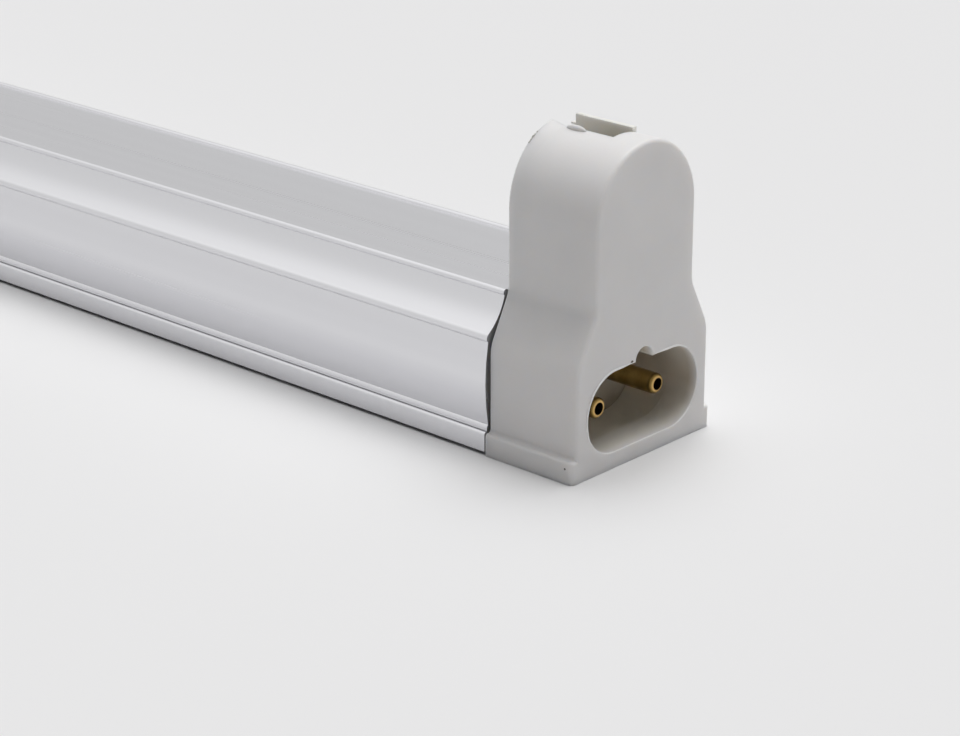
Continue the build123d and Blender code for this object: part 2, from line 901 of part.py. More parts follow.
def route(start, spread, lead, bends):
    """Corners of a wire: straight out of its start, over its bends and along the board."""
    edge, finish, z = wire_landing()
    reach = edge - start[0]
    points = [start, (start[0] + lead[0] * reach, start[1] + lead[1], start[2] + lead[2])]
    for share, outward, rise in bends:
        points.append((start[0] + share * reach, spread + outward, z + rise))
    return points + [(finish, spread + wire_end_shift, z)]


def pin_wire(side):
    """From the tail of an inlet pin to the board."""
    start = (recess_back - pin_tail, pin_pitch / 2, pin_height)
    wire = make_wire(route(start, pin_wire_spread, pin_wire_lead, pin_wire_bends))
    return wire if side > 0 else mirror(wire, about=Plane.XZ)


def lamp_wire(side):
    """From a contact's tag, over the profile's end and down to the board."""
    start = (body_back + tag_reach, contact_foot_offset, contact_seat_height + tag_height / 2)
    wire = make_wire(route(start, lamp_wire_spread, lamp_wire_lead, lamp_wire_bends))
    return wire if side > 0 else mirror(wire, about=Plane.XZ)


def make_end(prefix, place):
    """Every piece at one end of the fixture, set at its place."""
    pieces = {
        "end_cap": make_cap(),
        "holder_plate": make_holder_plate(),
        "rotor": make_rotor(),
        "cap_screw": make_screw(),
    }
    for side, letter in ((-1, "a"), (1, "b")):
        pieces[f"pin_{letter}"] = make_pin(side)
        pieces[f"contact_{letter}"] = make_contact(side)
        pieces[f"pin_wire_{letter}"] = pin_wire(side)
        pieces[f"lamp_wire_{letter}"] = lamp_wire(side)
    return {f"{prefix}_{name}": place * piece for name, piece in pieces.items()}


def make_ballast():
    """The board and its parts, turned so that the fuse is at the feed end."""
    film_y = (film_width + side_gap) / 2
    film_size = (film_length, film_width, film_height)
    snubber_y = (snubber_width + side_gap) / 2
    snubber_size = (snubber_length, snubber_width, snubber_height)
    pieces = {
        "circuit_board": make_board(),
        "insulating_liner": make_liner(),
        "fuse": axial_part(fuse_x, 0, fuse_radius, fuse_length),
        "rectifier_diodes": axial_row(diode_x, diode_radius, diode_length),
        "filter_choke_core": make_drum(),
        "filter_choke_winding": make_drum_winding(),
        "bulk_capacitor": make_bulk_capacitor(),
        "driver_core": make_driver_core(),
        "driver_winding": make_driver_winding(),
        "start_diac": axial_part(diac_x, 0, diac_radius, diac_length),
        "transistors": make_transistors(),
        "resistors": axial_row(resistor_x, resistor_radius, resistor_length),
        "lamp_choke_core": make_choke_core(),
        "lamp_choke_bobbin": make_choke_bobbin(),
        "lamp_choke_winding": make_choke_winding(),
        "resonant_capacitor": film_capacitor(film_x, film_y, *film_size),
        "blocking_capacitor": film_capacitor(film_x, -film_y, *film_size),
        "snubber_capacitor": film_capacitor(snubber_x, snubber_y, *snubber_size),
        "preheat_thermistor": make_thermistor(),
    }
    return {name: Rot(0, 0, 180) * piece for name, piece in pieces.items()}


def make_fixture():
    parts = {"profile": make_profile()}
    parts |= make_end("feed", Pos(half_length, 0, 0))
    parts |= make_end("link", Pos(-half_length, 0, 0) * Rot(0, 0, 180))
    return parts | make_ballast()


if __name__ == "__main__":
    os.makedirs("parts", exist_ok=True)
    for name, piece in make_fixture().items():
        export_step(piece, f"parts/{name}.step")
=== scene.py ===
"""Looks of the T5 batten holder: camera, floor and light, and the finish of every piece.

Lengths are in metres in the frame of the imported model: X along the batten, Y across it, Z up.
"""

import json
import math

import bmesh
import bpy
from mathutils import Matrix, Vector


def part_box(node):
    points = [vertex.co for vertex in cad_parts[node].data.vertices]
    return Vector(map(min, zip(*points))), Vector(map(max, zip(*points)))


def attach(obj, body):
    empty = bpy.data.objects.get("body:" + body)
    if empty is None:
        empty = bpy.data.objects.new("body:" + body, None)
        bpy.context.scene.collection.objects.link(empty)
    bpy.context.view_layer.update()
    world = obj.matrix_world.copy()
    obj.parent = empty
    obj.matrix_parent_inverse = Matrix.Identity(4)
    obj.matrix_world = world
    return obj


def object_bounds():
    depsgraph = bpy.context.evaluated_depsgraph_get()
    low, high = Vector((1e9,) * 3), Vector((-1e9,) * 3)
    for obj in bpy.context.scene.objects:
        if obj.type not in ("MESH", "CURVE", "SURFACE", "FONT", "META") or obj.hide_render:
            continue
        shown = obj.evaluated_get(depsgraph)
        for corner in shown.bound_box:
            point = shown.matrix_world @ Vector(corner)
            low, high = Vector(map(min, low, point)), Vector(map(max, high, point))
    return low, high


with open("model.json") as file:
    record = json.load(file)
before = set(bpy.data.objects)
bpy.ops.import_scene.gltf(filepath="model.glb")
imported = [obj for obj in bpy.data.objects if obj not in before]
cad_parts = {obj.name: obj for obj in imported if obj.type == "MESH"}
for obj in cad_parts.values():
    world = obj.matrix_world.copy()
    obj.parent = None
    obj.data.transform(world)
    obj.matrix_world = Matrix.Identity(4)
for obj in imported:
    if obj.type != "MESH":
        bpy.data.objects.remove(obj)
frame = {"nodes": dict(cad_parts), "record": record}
cad_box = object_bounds()
nodes = frame["nodes"]
MM = 0.001

# Outer face of the photographed cap; the other cap's lies as far out at the other end
FACE = cad_box[1].x


# Camera, floor and light

CAMERA_FROM_FACE = Vector((0.16437, -0.20361, 0.11023))
CAMERA_YAW = math.radians(47.427)
CAMERA_PITCH = math.radians(21.07)
CAMERA_ROLL = math.radians(0.011)
CAMERA_LENS = 103.25
CAMERA_NEAREST = 0.01
SENSOR_WIDTH = 36.0

FLOOR_COLOUR = (0.815, 0.813, 0.817)
FLOOR_ROUGHNESS = 0.9
FLOOR_HALF = 20.0
BACKDROP_COLOUR = (0.807, 0.807, 0.807)


def place_camera():
    """Camera at the photograph's viewing angle, measured from the middle of the cap's outer face."""
    face_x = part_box("feed_end_cap")[1].x
    level = math.cos(CAMERA_PITCH)
    forward = Vector((-math.cos(CAMERA_YAW) * level, math.sin(CAMERA_YAW) * level, -math.sin(CAMERA_PITCH)))
    right = forward.cross(Vector((0, 0, 1))).normalized()
    up = right.cross(forward)
    turned_right = math.cos(CAMERA_ROLL) * right + math.sin(CAMERA_ROLL) * up
    turned_up = math.cos(CAMERA_ROLL) * up - math.sin(CAMERA_ROLL) * right
    data = bpy.data.cameras.new("photo_camera")
    data.lens = CAMERA_LENS
    data.sensor_width = SENSOR_WIDTH
    data.sensor_fit = "HORIZONTAL"
    data.clip_start = CAMERA_NEAREST
    camera = bpy.data.objects.new("photo_camera", data)
    turn = Matrix((turned_right, turned_up, -forward)).transposed().to_4x4()
    camera.matrix_world = Matrix.Translation(Vector((face_x, 0, 0)) + CAMERA_FROM_FACE) @ turn
    bpy.context.scene.collection.objects.link(camera)
    bpy.context.scene.camera = camera


# Numbers of the colour sockets on a mix node
MIX_LOW = 6
MIX_HIGH = 7
MIX_RESULT = 2


class Shader:
    """Short way to add nodes to a node tree and join their sockets."""

    def __init__(self, tree):
        self.tree = tree

    def add(self, kind, settings=None, **inputs):
        """A node of a kind, with its settings, and each input given as a value or a socket."""
        node = self.tree.nodes.new(kind)
        for name, value in (settings or {}).items():
            setattr(node, name, value)
        for name, value in inputs.items():
            key = int(name[3:]) if name.startswith("at_") else name.replace("_", " ")
            self.feed(node.inputs[key], value)
        return node

    def feed(self, socket, value):
        """Give an input a value, or join it to an output."""
        if isinstance(value, bpy.types.NodeSocket):
            self.tree.links.new(value, socket)
        elif isinstance(value, tuple) and len(value) == 3 and socket.type == "RGBA":
            socket.default_value = (*value, 1.0)
        else:
            socket.default_value = value

    def mix(self, factor, low, high):
        """A colour mix of two colours."""
        node = self.add("ShaderNodeMix", {"data_type": "RGBA"}, at_0=factor)
        self.feed(node.inputs[MIX_LOW], low)
        self.feed(node.inputs[MIX_HIGH], high)
        return node.outputs[MIX_RESULT]

    def math(self, operation, first, second=0.0, third=0.0):
        """One sum on one, two or three numbers."""
        node = self.add("ShaderNodeMath", {"operation": operation}, at_0=first, at_1=second, at_2=third)
        return node.outputs["Value"]

    def times(self, first, *others):
        """Numbers or masks multiplied."""
        product = first
        for other in others:
            product = self.math("MULTIPLY", product, other)
        return product

    def remap(self, value, low, high, to_low=0.0, to_high=1.0, smooth=False):
        """Map a range of values to another, and hold them in it."""
        settings = {"interpolation_type": "SMOOTHSTEP" if smooth else "LINEAR"}
        ends = {"From_Min": low, "From_Max": high, "To_Min": to_low, "To_Max": to_high}
        return self.add("ShaderNodeMapRange", settings, Value=value, **ends).outputs["Result"]

    def noise(self, place, **texture):
        """A noise between 0 and 1 at a place."""
        return self.add("ShaderNodeTexNoise", Vector=place, **texture).outputs["Fac"]

    def parts(self, vector):
        """The three lengths of a vector."""
        return self.add("ShaderNodeSeparateXYZ", Vector=vector).outputs

    def vector_math(self, operation, first, second):
        """One sum on two vectors: its vector and its number."""
        return self.add("ShaderNodeVectorMath", {"operation": operation}, at_0=first, at_1=second).outputs

    def below(self, value, limit, blur):
        """1 up to a limit, falling to 0 over a blur."""
        return self.remap(value, limit, limit + blur, 1.0, 0.0)

    def inside(self, value, low, high, blur):
        """1 between two limits, falling to 0 over a blur at each."""
        return self.times(self.remap(value, low - blur, low), self.below(value, high, blur))


LIGHT_HEADING = Vector((-0.02, 0.22, 0.97)).normalized()
LIGHT_LEVEL = 7.8
LIGHT_FOCUS = 14.0
SKY_LEVEL = 0.025
WHITE = (1.0, 1.0, 1.0)

# Strength of the room in glossy surfaces: its far and near walls, and the ceiling
WALL_MIRRORED = 0.60
NEAR_WALL_GAIN = 0.20
WALL_TURN = 0.3
CEILING_MIRRORED = 1.05
WALL_TOP = 0.38
CEILING_EDGE = 0.70


def light_world():
    """Soft overhead studio light in a pale room: the camera and glossy surfaces see the pale walls."""
    world = bpy.data.worlds.new("studio")
    bpy.context.scene.world = world
    world.use_nodes = True
    s = Shader(world.node_tree)
    s.tree.nodes.clear()
    heading = s.add("ShaderNodeTexCoord").outputs["Generated"]
    lobe = s.vector_math("DOT_PRODUCT", heading, tuple(LIGHT_HEADING))["Value"]
    glow = s.math("POWER", s.math("MAXIMUM", lobe, 0.0), LIGHT_FOCUS)
    level = s.math("MULTIPLY_ADD", glow, LIGHT_LEVEL, SKY_LEVEL)
    light = s.add("ShaderNodeBackground", Color=WHITE, Strength=level)
    way = s.parts(heading)
    walls = s.remap(way["Y"], WALL_TURN, -WALL_TURN, WALL_MIRRORED, WALL_MIRRORED + NEAR_WALL_GAIN)
    room_level = s.remap(way["Z"], WALL_TOP, CEILING_EDGE, walls, CEILING_MIRRORED, smooth=True)
    room = s.add("ShaderNodeBackground", Color=WHITE, Strength=room_level)
    seen = s.add("ShaderNodeBackground", Color=BACKDROP_COLOUR, Strength=1.0)
    path = s.add("ShaderNodeLightPath").outputs
    whole = light
    for ray, view in (("Is Glossy Ray", room), ("Is Camera Ray", seen)):
        whole = s.add("ShaderNodeMixShader", at_0=path[ray], at_1=whole.outputs[0], at_2=view.outputs[0])
    s.add("ShaderNodeOutputWorld", Surface=whole.outputs[0])


def lay_floor():
    """Plain pale floor that takes the shadow and belongs to the stage."""
    mesh = bpy.data.meshes.new("floor")
    corners = [(x * FLOOR_HALF, y * FLOOR_HALF, 0.0) for x, y in ((-1, -1), (1, -1), (1, 1), (-1, 1))]
    mesh.from_pydata(corners, [], [(0, 1, 2, 3)])
    floor = bpy.data.objects.new("floor", mesh)
    bpy.context.scene.collection.objects.link(floor)
    material = bpy.data.materials.new("floor_paper")
    material.use_nodes = True
    body = material.node_tree.nodes["Principled BSDF"]
    body.inputs["Base Color"].default_value = (*FLOOR_COLOUR, 1.0)
    body.inputs["Roughness"].default_value = FLOOR_ROUGHNESS
    body.inputs["Specular IOR Level"].default_value = 0.0
    mesh.materials.append(material)


# Effects that several finishes share

NUMBER = "NodeSocketFloat"
VECTOR = "NodeSocketVector"

# Ranges of a noise that are stretched to a whole mask
TONE_SPREAD = (0.3, 0.7)
GLOSS_SPREAD = (0.2, 0.8)
EDGE_PATCHES = (0.3, 0.6)
DUSTY_PATCHES = (0.52, 0.75)

# How far the rounded normal agrees with the flat one: where an edge begins and where it is full
EDGE_BEGINS = 0.995
EDGE_IS_FULL = 0.85
EDGE_SAMPLES = 4

DUST_SCALE = 700.0
DUST_LIES_FROM = 0.2


def new_group(name, inputs, outputs):
    """An empty shader group with named sockets, and its ends."""
    tree = bpy.data.node_groups.new(name, "ShaderNodeTree")
    for label, kind, value in inputs:
        socket = tree.interface.new_socket(name=label, in_out="INPUT", socket_type=kind)
        if value is not None:
            socket.default_value = value
    for label in outputs:
        tree.interface.new_socket(name=label, in_out="OUTPUT", socket_type=NUMBER)
    s = Shader(tree)
    return s, s.add("NodeGroupInput").outputs, s.add("NodeGroupOutput").inputs


def build_moulded_grain():
    """Fine spark-eroded texture with slow waves of tone."""
    s, given, out = new_group(
        "moulded_grain",
        [("Position", VECTOR, None), ("Grain", NUMBER, 4000.0), ("Wave", NUMBER, 90.0)],
        ["Height", "Tone"],
    )
    for end, scale, roughness in (("Height", "Grain", 0.6), ("Tone", "Wave", 0.5)):
        s.feed(out[end], s.noise(given["Position"], Scale=given[scale], Detail=3.0, Roughness=roughness))
    return s.tree


def build_drawn_streaks():
    """Fine lines along the length, as a die leaves on a drawn or extruded metal."""
    s, given, out = new_group(
        "drawn_streaks",
        [
            ("Position", VECTOR, None),
            ("Stretch", VECTOR, (3.0, 3000.0, 3000.0)),
            ("Broad", VECTOR, (2.0, 420.0, 420.0)),
        ],
        ["Height", "Tone"],
    )
    for end, scale in (("Height", "Stretch"), ("Tone", "Broad")):
        place = s.vector_math("MULTIPLY", given["Position"], given[scale])["Vector"]
        s.feed(out[end], s.noise(place, Scale=1.0, Detail=1.0, Roughness=0.5))
    return s.tree


def build_worn_and_highlit_edges():
    """Mask of sharp edges, broken up by noise: for wear, and for painted highlight."""
    s, given, out = new_group(
        "worn_and_highlit_edges",
        [("Position", VECTOR, None), ("Width", NUMBER, 0.0002), ("Break up", NUMBER, 900.0)],
        ["Mask"],
    )
    rounded = s.add("ShaderNodeBevel", {"samples": EDGE_SAMPLES}, Radius=given["Width"]).outputs["Normal"]
    flat = s.add("ShaderNodeNewGeometry").outputs["Normal"]
    edge = s.remap(s.vector_math("DOT_PRODUCT", rounded, flat)["Value"], EDGE_BEGINS, EDGE_IS_FULL)
    noise = s.noise(given["Position"], Scale=given["Break up"], Detail=2.0)
    s.feed(out["Mask"], s.times(edge, s.remap(noise, *EDGE_PATCHES)))
    return s.tree


def build_settled_dust():
    """Mask of dust that lies on surfaces facing up."""
    s, given, out = new_group(
        "settled_dust",
        [("Position", VECTOR, None), ("Amount", NUMBER, 0.2)],
        ["Mask"],
    )
    up = s.parts(s.add("ShaderNodeNewGeometry").outputs["Normal"])["Z"]
    noise = s.noise(given["Position"], Scale=DUST_SCALE, Detail=5.0, Roughness=0.7)
    patches = s.remap(noise, *DUSTY_PATCHES)
    s.feed(out["Mask"], s.times(s.remap(up, DUST_LIES_FROM, 1.0), patches, given["Amount"]))
    return s.tree


GROUPS = {
    "grain": build_moulded_grain(),
    "streaks": build_drawn_streaks(),
    "edges": build_worn_and_highlit_edges(),
    "dust": build_settled_dust(),
}


class Finish(Shader):
    """A material in the making: its Principled shader and the place on the surface in the part's frame."""

    def __init__(self, name):
        self.material = bpy.data.materials.new(name)
        self.material.use_nodes = True
        super().__init__(self.material.node_tree)
        self.body = self.tree.nodes["Principled BSDF"]
        self.place = self.add("ShaderNodeTexCoord").outputs["Object"]

    def set(self, name, value):
        """Give an input of the Principled shader a value, or join it to an output."""
        self.feed(self.body.inputs[name], value)

    def effect(self, key, **inputs):
        """One of the shared groups, placed in the material."""
        return self.add("ShaderNodeGroup", {"node_tree": GROUPS[key]}, Position=self.place, **inputs).outputs

    def raise_surface(self, height, distance, strength):
        """Join a height to the shader's normal."""
        bump = self.add("ShaderNodeBump", Height=height, Distance=distance, Strength=strength)
        self.set("Normal", bump.outputs["Normal"])


def shaded(colour, by):
    """A colour times a number, held at white."""
    return tuple(min(1.0, part * by) for part in colour)


# Moulded plastic

PLASTIC_ROUGHNESS = 0.42
PLASTIC_GRAIN = 3500.0
PLASTIC_IOR = 1.5
GLOSS_SWING = 0.05
GRAIN_DEPTH = 0.01 * MM
GRAIN_STRENGTH = 0.6
# Paler edges of moulded plastic: partly wear, partly painted highlight
EDGE_WEAR_AND_HIGHLIGHT_SHARE = 0.35
EDGE_WEAR_AND_HIGHLIGHT_GAIN = 1.12
DUST_COLOUR = (0.6, 0.59, 0.57)


def plastic_base(s, colour, roughness=PLASTIC_ROUGHNESS, grain=PLASTIC_GRAIN, tone_depth=0.04, dust=0.1):
    """Give a material the grain and gloss of moulded plastic; its base colour, to be joined or changed."""
    texture = s.effect("grain", Grain=grain)
    gloss = (roughness - GLOSS_SWING, roughness + GLOSS_SWING)
    s.set("Roughness", s.remap(texture["Tone"], *GLOSS_SPREAD, *gloss))
    s.set("IOR", PLASTIC_IOR)
    s.raise_surface(texture["Height"], GRAIN_DEPTH, GRAIN_STRENGTH)
    tone = s.remap(texture["Tone"], *TONE_SPREAD)
    base = s.mix(tone, shaded(colour, 1.0 - tone_depth), shaded(colour, 1.0 + tone_depth))
    # Paler edges: partly wear, partly painted highlight
    edge = s.times(s.effect("edges")["Mask"], EDGE_WEAR_AND_HIGHLIGHT_SHARE)
    base = s.mix(edge, base, shaded(colour, EDGE_WEAR_AND_HIGHLIGHT_GAIN))
    return s.mix(s.effect("dust", Amount=dust)["Mask"], base, DUST_COLOUR)


def moulded_plastic(name, colour, **texture):
    """Moulded plastic with fine grain, slow tone, paler edges of wear and painted highlight, and a little
    dust.
    """
    s = Finish(name)
    s.set("Base Color", plastic_base(s, colour, **texture))
    return s.material


# Plastic of the two caps, and the inlet recess measured from the outer face of each, with painted shade
# inside the recess and painted light on its floor

CAP_COLOUR = (0.83, 0.815, 0.81)
CAP_TONE_DEPTH = 0.03
CAP_DUST = 0.02
CAP_DEPTH = 11.7 * MM
CAP_GLOW_WEIGHT = 0.6
CAP_GLOW_RADIUS = (1.0, 0.9, 0.78)
CAP_GLOW_SCALE = 1.5 * MM

# Painted shade inside the inlet recess, and painted light on its lower half
RECESS_SHADE_COLOUR = (0.62, 0.57, 0.49)
RECESS_FLOOR_LIT_COLOUR = (0.86, 0.84, 0.79)
RECESS_RIM = 0.2 * MM
RECESS_RAMP = 1.2 * MM
RECESS_HALF_WIDTH = 9.1 * MM
RECESS_BOTTOM = 1.0 * MM
RECESS_TOP = 12.2 * MM
RECESS_MIDDLE = 5.5 * MM
RECESS_FLOOR_FULL = 2.0 * MM
RECESS_DEPTH = 9.0 * MM
RECESS_BLUR = 0.2 * MM
BACK_WALL_BEHIND = 0.3 * MM
BACK_WALL_BEFORE = 0.05 * MM

# Painted highlight: pale edges on the rounded mouth of the recess, with its burrs, and on the cap's rear rim
EDGE_HIGHLIGHT_COLOUR = (0.95, 0.945, 0.93)
MOUTH_REACH = 9.35 * MM
MOUTH_ROUND_IN = 0.13 * MM
MOUTH_ROUND_OUT = 0.02 * MM
MOUTH_BELOW = 0.1 * MM
MOUTH_ABOVE = 0.4 * MM
MOUTH_BLUR = 0.1 * MM
REAR_RIM = 0.1 * MM
HAIR_BLUR = 0.02 * MM

# Painted light on the far wall of the crown slot, paler and warmer than the rest
SLOT_LIGHT_COLOUR = (0.93, 0.90, 0.83)
SLOT_FAR = 1.65 * MM
SLOT_WALL = 0.8 * MM
SLOT_BLUR = 0.1 * MM
SLOT_BOTTOM = 31.5 * MM
SLOT_RISE = 0.5 * MM
SLOT_BEGINS = 3.3 * MM
SLOT_IS_FULL = 3.6 * MM

# Specks in the plastic, on the outer and the near faces of the feed cap
SPECK_COLOUR = (0.10, 0.08, 0.06)
SPECK_CORE = 0.6
SPECKS = [
    (Vector((FACE, -1.99 * MM, 10.79 * MM)), 0.26 * MM),
    (Vector((FACE - 0.96 * MM, -11.1 * MM, 1.66 * MM)), 0.14 * MM),
    (Vector((FACE - 11.09 * MM, -10.35 * MM, 19.02 * MM)), 0.14 * MM),
]


def speck_mask(s):
    """1 at the middle of each speck, falling to 0 at its own radius."""
    found = 0.0
    for point, radius in SPECKS:
        gap = s.vector_math("DISTANCE", s.place, point)["Value"]
        found = s.math("MAXIMUM", s.remap(gap, radius, SPECK_CORE * radius), found)
    return found


def recess_shade_mask(s, along, across, up):
    """Painted shade: where the surface lies inside the inlet recess, growing over its first millimetre."""
    inward = s.remap(along, FACE - RECESS_RIM, FACE - RECESS_RAMP)
    beside = s.below(across, RECESS_HALF_WIDTH, RECESS_BLUR)
    return s.times(inward, beside, s.inside(up, RECESS_BOTTOM, RECESS_TOP, RECESS_BLUR))


def recess_floor_light_mask(s, along, up):
    """Painted light on the lower half of the recess, without its back wall."""
    back = FACE - RECESS_DEPTH
    back_wall = s.inside(along, back - BACK_WALL_BEHIND, back + BACK_WALL_BEFORE, HAIR_BLUR)
    return s.times(s.remap(up, RECESS_MIDDLE, RECESS_FLOOR_FULL), s.math("SUBTRACT", 1.0, back_wall))


def edge_highlight_mask(s, along, across, up):
    """Painted highlight on the rounded mouth of the recess, and on the rear rim that meets the profile."""
    mouth = s.times(
        s.inside(along, FACE - MOUTH_ROUND_IN, FACE - MOUTH_ROUND_OUT, HAIR_BLUR / 2),
        s.below(across, MOUTH_REACH, MOUTH_BLUR),
        s.inside(up, RECESS_BOTTOM - MOUTH_BELOW, RECESS_TOP + MOUTH_ABOVE, MOUTH_BLUR),
    )
    rear = FACE - CAP_DEPTH
    return s.math("MAXIMUM", mouth, s.inside(along, rear, rear + REAR_RIM, HAIR_BLUR))


def slot_wall_light_mask(s, along, sideways, up):
    """Painted light on the far wall of the crown slot, which lies on the other side at the other end."""
    return s.times(
        s.inside(sideways, SLOT_FAR, SLOT_FAR + SLOT_WALL, SLOT_BLUR),
        s.remap(up, SLOT_BOTTOM, SLOT_BOTTOM + SLOT_RISE),
        s.remap(along, FACE - SLOT_BEGINS, FACE - SLOT_IS_FULL),
    )


def cap_plastic():
    """The caps' pale plastic, a little see-through, with specks: painted shade in the recess and painted
    light on its floor, pale edges of wear and painted highlight, and painted light on the slot's far wall.
    """
    s = Finish("cap_plastic")
    base = plastic_base(s, CAP_COLOUR, tone_depth=CAP_TONE_DEPTH, dust=CAP_DUST)
    x, y, up = s.parts(s.place)
    along = s.math("ABSOLUTE", x)
    across = s.math("ABSOLUTE", y)
    sideways = s.times(y, s.math("SIGN", x))
    # Painted shade inside the recess, with painted light on its floor
    recess = s.mix(recess_floor_light_mask(s, along, up), RECESS_SHADE_COLOUR, RECESS_FLOOR_LIT_COLOUR)
    base = s.mix(recess_shade_mask(s, along, across, up), base, recess)
    # Painted highlight on the mouth's edge and on the rear rim
    base = s.mix(edge_highlight_mask(s, along, across, up), base, EDGE_HIGHLIGHT_COLOUR)
    # Painted light on the slot's far wall
    base = s.mix(slot_wall_light_mask(s, along, sideways, up), base, SLOT_LIGHT_COLOUR)
    s.set("Base Color", s.mix(speck_mask(s), base, SPECK_COLOUR))
    s.set("Subsurface Weight", CAP_GLOW_WEIGHT)
    s.set("Subsurface Radius", CAP_GLOW_RADIUS)
    s.set("Subsurface Scale", CAP_GLOW_SCALE)
    return s.material


# Metals

ALUMINIUM_DARK = (0.72, 0.72, 0.74)
ALUMINIUM_LIGHT = (0.745, 0.745, 0.765)
# Paler edges of the aluminium: partly wear, partly painted highlight
ALUMINIUM_EDGE = (0.94, 0.94, 0.95)
ALUMINIUM_EDGE_SHARE = 0.4
ALUMINIUM_EDGE_WIDTH = 0.15 * MM
ALUMINIUM_GLOSS = (0.27, 0.31)
DIE_LINE_DEPTH = 0.001 * MM
DIE_LINE_STRENGTH = 0.3
# Painted shade: a darker band low on the walls, standing in for the reflected shadow on the floor
WALL_FOOT_SHADE_COLOUR = (0.66, 0.66, 0.685)
WALL_FOOT_LOW = 4.0 * MM
WALL_FOOT_HIGH = 6.0 * MM
WALL_FOOT_BLUR = 2.0 * MM
# Painted shade on the sawn ends, which lie in the dark joint against the caps
SAWN_SHADE_COLOUR = (0.40, 0.40, 0.41)
SAWN_BEGINS = 0.03 * MM
SAWN_IS_FULL = 0.02 * MM


def extruded_aluminium():
    """Satin extruded aluminium: fine die lines along the length and soft bands of tone, painted shade low on
    the walls and on the sawn ends, and pale edges of wear and painted highlight.
    """
    s = Finish("satin_aluminium")
    lines = s.effect("streaks")
    x, _, up = s.parts(s.place)
    base = s.mix(s.remap(lines["Tone"], *TONE_SPREAD), ALUMINIUM_DARK, ALUMINIUM_LIGHT)
    # Painted shade low on the walls
    base = s.mix(s.inside(up, WALL_FOOT_LOW, WALL_FOOT_HIGH, WALL_FOOT_BLUR), base, WALL_FOOT_SHADE_COLOUR)
    # Paler edges: partly wear, partly painted highlight
    edge = s.times(s.effect("edges", Width=ALUMINIUM_EDGE_WIDTH)["Mask"], ALUMINIUM_EDGE_SHARE)
    base = s.mix(edge, base, ALUMINIUM_EDGE)
    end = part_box("profile")[1].x
    # Painted shade on the sawn ends
    sawn_shade = s.remap(s.math("ABSOLUTE", x), end - SAWN_BEGINS, end - SAWN_IS_FULL)
    s.set("Base Color", s.mix(sawn_shade, base, SAWN_SHADE_COLOUR))
    s.set("Metallic", 1.0)
    s.set("Roughness", s.remap(lines["Height"], *GLOSS_SPREAD, *ALUMINIUM_GLOSS))
    s.raise_surface(lines["Height"], DIE_LINE_DEPTH, DIE_LINE_STRENGTH)
    return s.material


DRAWN_LINES = (60.0, 6000.0, 6000.0)
DRAWN_BANDS = (300.0, 900.0, 900.0)
DRAWN_PATCHES = (0.35, 0.7)
TARNISH = 0.67
DRAWN_EDGE_WIDTH = 0.1 * MM
DRAWN_EDGE_SHARE = 0.5
DRAWN_EDGE_GAIN = 1.15
DRAWN_GLOSS_SWING = (-0.06, 0.1)
DRAWN_LINE_DEPTH = 0.003 * MM
DRAWN_LINE_STRENGTH = 0.5


def drawn_metal(name, colour, roughness):
    """Drawn or rolled metal with fine lines, a darker tarnish and bright edges."""
    s = Finish(name)
    lines = s.effect("streaks", Stretch=DRAWN_LINES, Broad=DRAWN_BANDS)
    base = s.mix(s.remap(lines["Tone"], *DRAWN_PATCHES), shaded(colour, TARNISH), colour)
    edge = s.times(s.effect("edges", Width=DRAWN_EDGE_WIDTH)["Mask"], DRAWN_EDGE_SHARE)
    s.set("Base Color", s.mix(edge, base, shaded(colour, DRAWN_EDGE_GAIN)))
    s.set("Metallic", 1.0)
    gloss = [roughness + swing for swing in DRAWN_GLOSS_SWING]
    s.set("Roughness", s.remap(lines["Height"], *GLOSS_SPREAD, *gloss))
    s.raise_surface(lines["Height"], DRAWN_LINE_DEPTH, DRAWN_LINE_STRENGTH)
    return s.material


# Inlet pins: lengths from the tip, reaches from a pin's axis, and colours from the root to the bore
PIN_OFFSET = 4.7 * MM
PIN_HEIGHT = 6.0 * MM
PIN_GRAIN = 2500.0
PIN_WAVE = 700.0
PIN_GLOSS = (0.3, 0.4)
PIN_GRAIN_DEPTH = 0.002 * MM
PIN_GRAIN_STRENGTH = 0.5
WORN_BEGINS = 0.5 * MM
WORN_IS_FULL = 0.2 * MM
TIP_RING = 0.95 * MM
TIP_RING_CORE = 0.85
RIM_BEGINS = 0.6 * MM
RIM_IS_FULL = 0.3 * MM
RIM_INNER = 0.88 * MM
RIM_OUTER = 1.0 * MM
PIN_BORE = 0.64 * MM
BORE_BLUR = 0.06 * MM
SHANK_DARK = (0.30, 0.20, 0.06)
SHANK_LIGHT = (0.46, 0.32, 0.11)
TIP_COLOUR = (0.58, 0.38, 0.14)
# Painted shade on the tip's rounded outer edge and inside the bore
RIM_SHADE_COLOUR = (0.20, 0.13, 0.04)
BORE_SHADE_COLOUR = (0.05, 0.035, 0.02)


